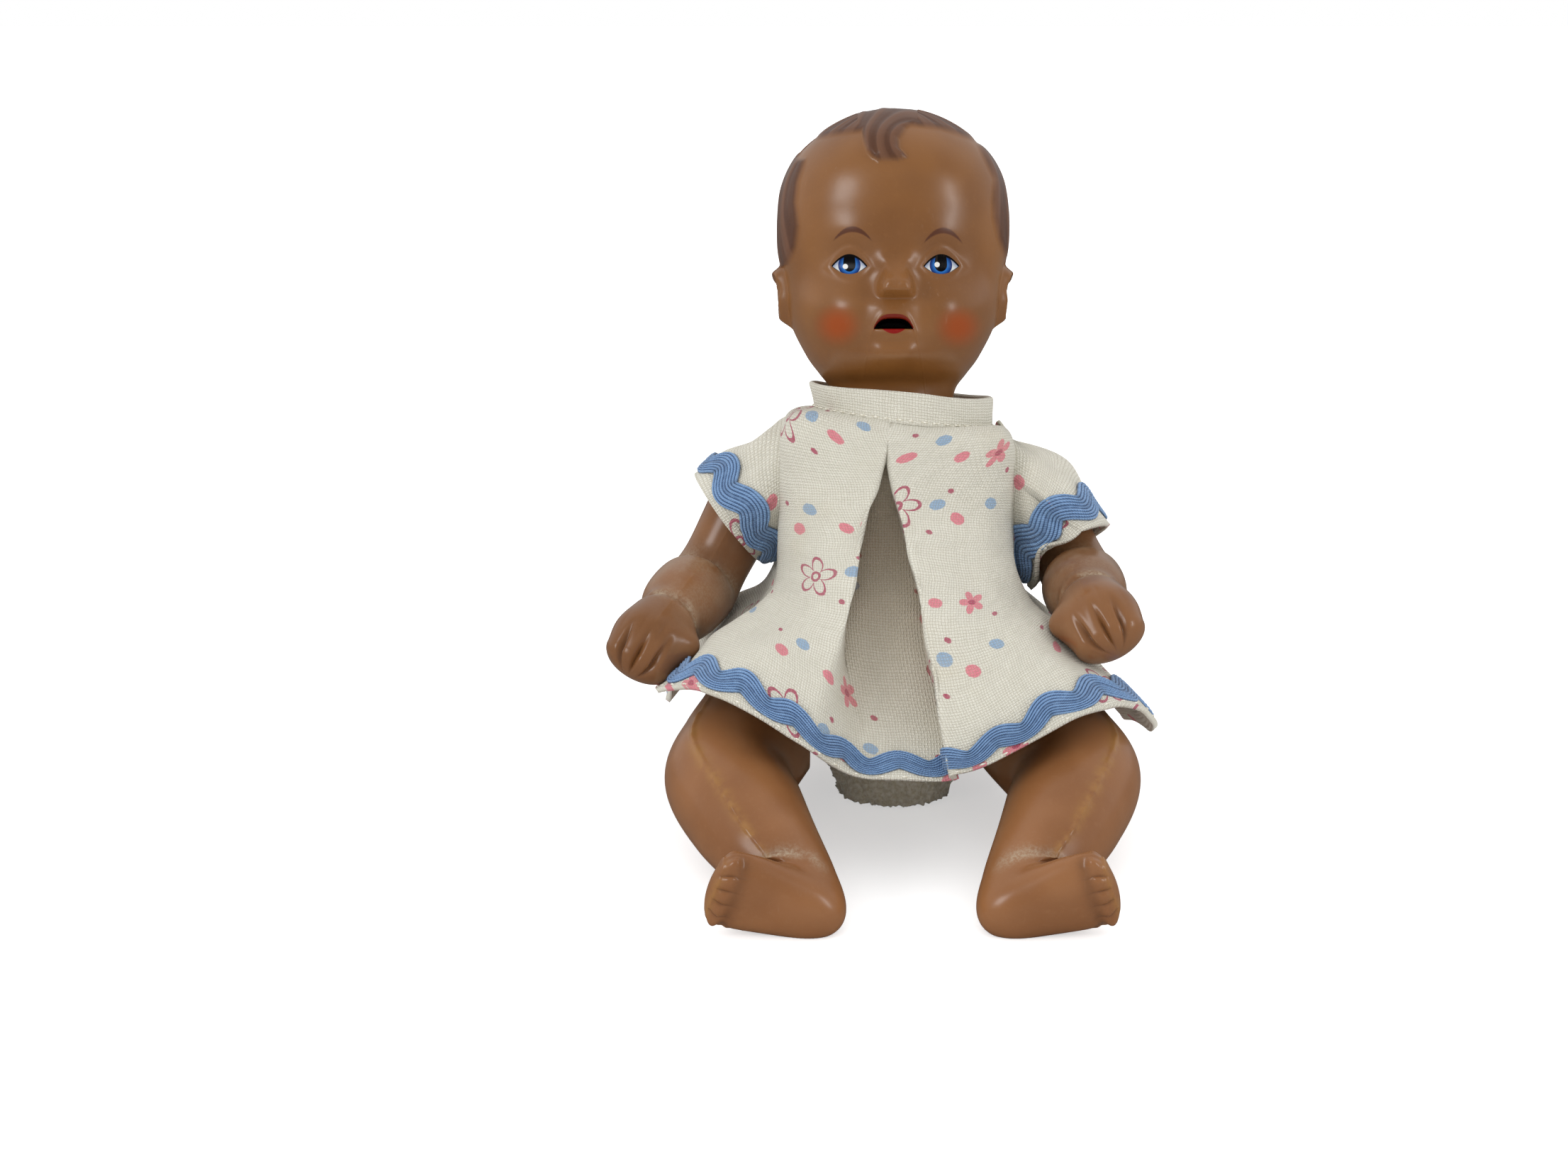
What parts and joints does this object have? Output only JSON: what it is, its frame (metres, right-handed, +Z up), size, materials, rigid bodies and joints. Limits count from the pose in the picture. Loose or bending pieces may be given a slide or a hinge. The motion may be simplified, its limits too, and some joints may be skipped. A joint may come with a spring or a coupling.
{
  "type": "celluloid doll",
  "caption": "Seated jointed baby doll with moulded hollow celluloid shells strung on elastic, in a short-sleeved cotton dress with wavy braid trim over a terry nappy.",
  "frame": {"origin": "on the floor under the hip line, in the flat seat of the nappy", "axes": "+Z up, the doll faces -Y, its own left hand is on +X"},
  "size_m": [0.0797, 0.1009, 0.1024],
  "materials": {
    "celluloid": "polished brown celluloid",
    "celluloid_hair": "celluloid with a painted hair cap",
    "turned_celluloid": "turned celluloid",
    "elastic_cord": "round covered elastic",
    "terry": "looped terry",
    "printed_cotton": "plain-weave cotton with a small print",
    "rickrack": "woven wavy braid"
  },
  "bodies": {
    "torso": {"torso_front": "celluloid", "torso_back": "celluloid", "arm_elastic": "elastic_cord", "leg_elastic": "elastic_cord", "head_elastic": "elastic_cord", "nappy": "terry", "dress_front": "printed_cotton", "dress_back_right": "printed_cotton", "dress_back_left": "printed_cotton", "collar": "printed_cotton", "hem_rickrack": "rickrack"},
    "head": {"head_front": "celluloid", "head_back": "celluloid_hair", "neck_plug": "turned_celluloid"},
    "right_arm": {"right_arm_outer": "celluloid", "right_arm_inner": "celluloid", "right_shoulder_button": "turned_celluloid", "right_sleeve": "printed_cotton", "right_sleeve_rickrack": "rickrack"},
    "left_arm": {"left_arm_outer": "celluloid", "left_arm_inner": "celluloid", "left_shoulder_button": "turned_celluloid", "left_sleeve": "printed_cotton", "left_sleeve_rickrack": "rickrack"},
    "right_leg": {"right_leg_upper": "celluloid", "right_leg_lower": "celluloid", "right_hip_button": "turned_celluloid"},
    "left_leg": {"left_leg_upper": "celluloid", "left_leg_lower": "celluloid", "left_hip_button": "turned_celluloid"}
  },
  "joints": [
    {"name": "neck_turn", "type": "hinge", "parent": "torso", "child": "head", "pos_m": [0, 0.01227, 0.05678], "axis": [0, 0.2756, 0.9613], "range_deg": [-90, 90]},
    {"name": "right_shoulder", "type": "hinge", "parent": "torso", "child": "right_arm", "pos_m": [0, 0.00904, 0.04553], "axis": [-1, 0, 0], "range_deg": [0, 120]},
    {"name": "left_shoulder", "type": "hinge", "parent": "torso", "child": "left_arm", "pos_m": [0, 0.00904, 0.04553], "axis": [-1, 0, 0], "range_deg": [0, 120]},
    {"name": "right_hip", "type": "hinge", "parent": "torso", "child": "right_leg", "pos_m": [0, 0, 0.014], "axis": [-1, 0, 0], "range_deg": [-90, 0]},
    {"name": "left_hip", "type": "hinge", "parent": "torso", "child": "left_leg", "pos_m": [0, 0, 0.014], "axis": [-1, 0, 0], "range_deg": [-90, 0]}
  ]
}
